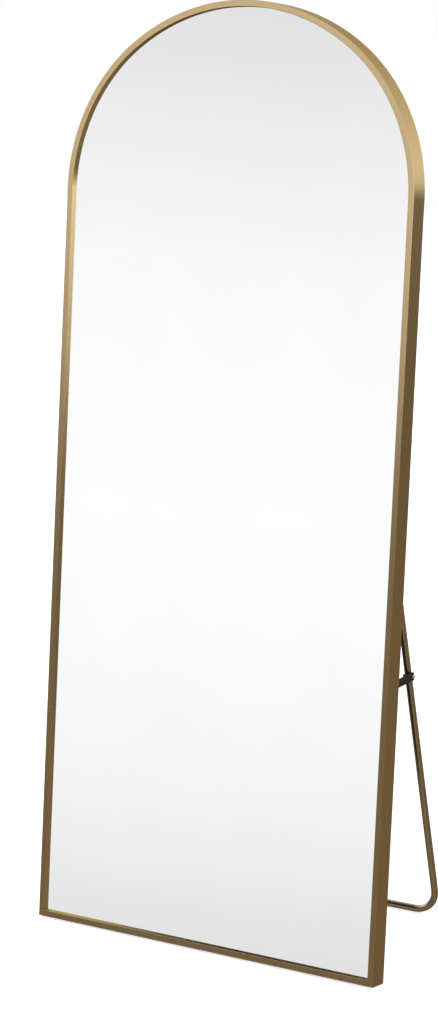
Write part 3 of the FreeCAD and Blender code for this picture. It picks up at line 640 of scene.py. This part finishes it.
# Floor. A plain white studio floor, matt, that keeps the mirror's soft shadow. A glow for the camera
# alone lifts it to white, so it sends no more light up to the mirror.
FLOOR_SIZE = 40
FLOOR_GLOW = 0.6
bpy.ops.object.select_all(action="DESELECT")
bpy.ops.mesh.primitive_plane_add(size=FLOOR_SIZE)
floor = bpy.context.object
floor.name = "floor"
floor.visible_glossy = False
floor.visible_diffuse = False
floor.visible_shadow = False
white_floor, surface = new_material("white_floor")
path = add_node(white_floor, "ShaderNodeLightPath")
glow = add_node(white_floor, "ShaderNodeMath", {
    0: path.outputs["Is Camera Ray"], 1: FLOOR_GLOW,
}, operation="MULTIPLY")
feed(white_floor, surface, {
    "Base Color": srgb("#cfcfcf"), "Roughness": 1, "Specular IOR Level": 0,
    "Emission Color": srgb("#ffffff"), "Emission Strength": glow.outputs["Value"],
})
floor.data.materials.append(white_floor)


# Room. White where the camera sees it. The metal sees a grey floor below the horizon and bright walls
# above it, brighter beside the camera and behind the mirror, with a pale lane low before the glass. A
# black flag and a white panel, high in front on the left, shade and light the ledge below the glass.
ROOM_REACH = 90
FLOOR_TINT = Vector((1, 0.9, 0.75))
WALL_TINT = Vector((1, 1.08, 1.17))
ROOM_GREYS = (
    (-90, 0.3, FLOOR_TINT), (-30, 0.3, FLOOR_TINT), (-14, 0.37, FLOOR_TINT), (-7, 0.26, FLOOR_TINT),
    (-1, 0.22, FLOOR_TINT), (2.5, 1.5, WALL_TINT), (10, 1.62, WALL_TINT), (20, 1.5, WALL_TINT),
    (28, 1.25, WALL_TINT), (34, 1.02, WALL_TINT), (60, 0.75, WALL_TINT), (90, 0.6, WALL_TINT),
)
LANE_REACH = 14
PLAIN = Vector((1, 1, 1))
LANE_GREYS = (
    (-14, 0.66, PLAIN), (-11.5, 0.79, PLAIN), (-7.5, 0.99, PLAIN), (-2, 1.07, PLAIN), (3.3, 1.02, PLAIN),
    (8.3, 0.82, PLAIN), (14, 0.7, PLAIN),
)
UP = (0, 0, 1)
LEFT = (-1, 0, 0)
FRONT = (0, -1, 0)
LANE_BEARING = math.radians(33.66)
LANE_SIDE = (-math.sin(LANE_BEARING), -math.cos(LANE_BEARING), 0)
CAMERA_SIDE = (math.sin(LANE_BEARING), -math.cos(LANE_BEARING), 0)
REAR_SIDE = (math.sin(LANE_BEARING), math.cos(LANE_BEARING), 0)
SIDE_EDGE = math.cos(math.radians(45))
SIDE_CORE = math.cos(math.radians(20))
CAMERA_SIDE_GAIN = 1.85
REAR_SIDE_GAIN = 1.28
LANE_EDGE = math.cos(math.radians(6.5))
LANE_CORE = math.cos(math.radians(3.8))
LANE_TOP = math.sin(math.radians(LANE_REACH))
LANE_FADE = math.sin(math.radians(9.5))

# The flag's and the panel's limits are shares of a direction that point to the left.
FLAG_START = 0.41
FLAG_FULL = 0.45
FLAG_END = 0.546
PANEL_START = 0.578
FRONT_FULL = 0.1
FLAG_GAIN = 0.02
PANEL_GAIN = 1.4
scene = bpy.context.scene
scene.view_settings.view_transform = "Standard"
world = bpy.data.worlds.new("pale_room")
scene.world = world
world.use_nodes = True
direction = add_node(world, "ShaderNodeTexCoord").outputs["Generated"]
height = add_node(world, "ShaderNodeSeparateXYZ", {"Vector": direction}).outputs["Z"]
level = add_node(world, "ShaderNodeVectorMath", {0: direction, 1: (1, 1, 0)}, operation="MULTIPLY")
bearing = add_node(world, "ShaderNodeVectorMath", {
    0: level.outputs["Vector"],
}, operation="NORMALIZE").outputs["Vector"]


def room_ramp(reach, greys):
    """Tinted greys by height over the horizon, up to a reach, from elevations in degrees."""
    top = math.sin(math.radians(reach))
    share = add_node(world, "ShaderNodeMapRange", {"Value": height, "From Min": -top, "From Max": top})
    ramp = add_node(world, "ShaderNodeValToRGB", {"Fac": share.outputs["Result"]})
    stops = ramp.color_ramp.elements
    stops.remove(stops[1])
    for number, (elevation, grey, tint) in enumerate(greys):
        place = (math.sin(math.radians(elevation)) / top + 1) / 2
        stop = stops.new(place) if number else stops[0]
        stop.position = place
        stop.color = (*(grey * tint), 1)
    return ramp.outputs["Color"]


def towards(vector, axis, start, end, least, most):
    """Goes smoothly from least to most as a vector's part along an axis goes from start to end."""
    part = add_node(world, "ShaderNodeVectorMath", {0: vector, 1: axis}, operation="DOT_PRODUCT")
    return add_node(world, "ShaderNodeMapRange", {
        "Value": part.outputs["Value"], "From Min": start, "From Max": end, "To Min": least, "To Max": most,
    }, interpolation_type="SMOOTHSTEP").outputs["Result"]


walls = room_ramp(ROOM_REACH, ROOM_GREYS)
lane = room_ramp(LANE_REACH, LANE_GREYS)
for side, gain in ((CAMERA_SIDE, CAMERA_SIDE_GAIN), (REAR_SIDE, REAR_SIDE_GAIN)):
    walls = add_node(world, "ShaderNodeVectorMath", {
        0: walls, "Scale": towards(bearing, side, SIDE_EDGE, SIDE_CORE, 1, gain),
    }, operation="SCALE").outputs["Vector"]
before_mirror = add_node(world, "ShaderNodeMath", {
    0: towards(direction, LEFT, FLAG_START, FLAG_FULL, 0, 1),
    1: towards(direction, FRONT, 0, FRONT_FULL, 0, 1),
}, operation="MULTIPLY")
flag_or_panel = add_node(world, "ShaderNodeMix", {
    "Factor": before_mirror.outputs["Value"],
    "A": 1, "B": towards(direction, LEFT, FLAG_END, PANEL_START, FLAG_GAIN, PANEL_GAIN),
})
panelled = add_node(world, "ShaderNodeVectorMath", {
    0: walls, "Scale": flag_or_panel.outputs["Result"],
}, operation="SCALE").outputs["Vector"]
low = towards(direction, UP, LANE_TOP, LANE_FADE, 0, 1)
high_panel = add_node(world, "ShaderNodeMix", {
    FACTOR: low, FIRST: panelled, SECOND: walls,
}, data_type="RGBA")
in_lane = add_node(world, "ShaderNodeMath", {
    0: low, 1: towards(bearing, LANE_SIDE, LANE_EDGE, LANE_CORE, 0, 1),
}, operation="MULTIPLY")
room = add_node(world, "ShaderNodeMix", {
    FACTOR: in_lane.outputs["Value"], FIRST: high_panel.outputs[MIXED], SECOND: lane,
}, data_type="RGBA")

# The glass shows the lane's greys on every side, so that it looks alike from all round. A sight line
# to the room has a depth of 2 by way of the glass alone, and of 3 where metal comes before the glass:
# there the metal sees the flag and the panel at any height.
GLASS_DEPTH = 2.5
ray = add_node(world, "ShaderNodeLightPath")
glass_alone = add_node(world, "ShaderNodeMath", {
    0: ray.outputs["Ray Depth"], 1: GLASS_DEPTH,
}, operation="LESS_THAN")
in_glass = add_node(world, "ShaderNodeMix", {
    FACTOR: glass_alone.outputs["Value"], FIRST: panelled, SECOND: lane,
}, data_type="RGBA")
reflected = add_node(world, "ShaderNodeMix", {
    FACTOR: ray.outputs["Is Singular Ray"], FIRST: room.outputs[MIXED], SECOND: in_glass.outputs[MIXED],
}, data_type="RGBA")
shown = add_node(world, "ShaderNodeMix", {
    FACTOR: ray.outputs["Is Camera Ray"], FIRST: reflected.outputs[MIXED], SECOND: srgb("#ffffff"),
}, data_type="RGBA")
feed(world, world.node_tree.nodes["Background"], {"Color": shown.outputs[MIXED]})


# Lamps. Two large soft boxes, in front and behind, which metal and glass don't show, and a smaller one
# beside the camera, which they do.
def add_soft_box(name, place, aim, size, power, in_metal):
    """Hangs a square soft box at a place, turned to the point that it lights."""
    light = bpy.data.lights.new(name, "AREA")
    light.size = size
    light.energy = power
    lamp = bpy.data.objects.new(name, light)
    lamp.location = place
    lamp.rotation_euler = (Vector(aim) - Vector(place)).to_track_quat("-Z", "Y").to_euler()
    lamp.visible_camera = False
    lamp.visible_glossy = in_metal
    scene.collection.objects.link(lamp)


add_soft_box("front_soft_box", place=(-1.6, -3.0, 3.0), aim=(0, 0, 0.8), size=1.8, power=16, in_metal=False)
add_soft_box("camera_soft_box", place=(3.2, -4.4, 2.35), aim=(0, 0, 1.0), size=1.2, power=8, in_metal=True)
add_soft_box("back_soft_box", place=(0.9, 2.8, 2.8), aim=(0, 0, 0.8), size=1.8, power=16, in_metal=False)


# Camera, as far to the right of the mirror and as high as in the photograph. Its turn is in degrees,
# and its lens and sensor are in millimetres.
CAMERA_PLACE = (2.7893, -4.3443, 1.7056)
CAMERA_TURN = (80.2006, 0, 33.6597)
CAMERA_LENS = 96.34
CAMERA_SENSOR = 36
camera_data = bpy.data.cameras.new("camera")
camera_data.lens = CAMERA_LENS
camera_data.sensor_width = CAMERA_SENSOR
camera = bpy.data.objects.new("camera", camera_data)
camera.location = CAMERA_PLACE
camera.rotation_euler = [math.radians(turn) for turn in CAMERA_TURN]
scene.collection.objects.link(camera)
scene.camera = camera
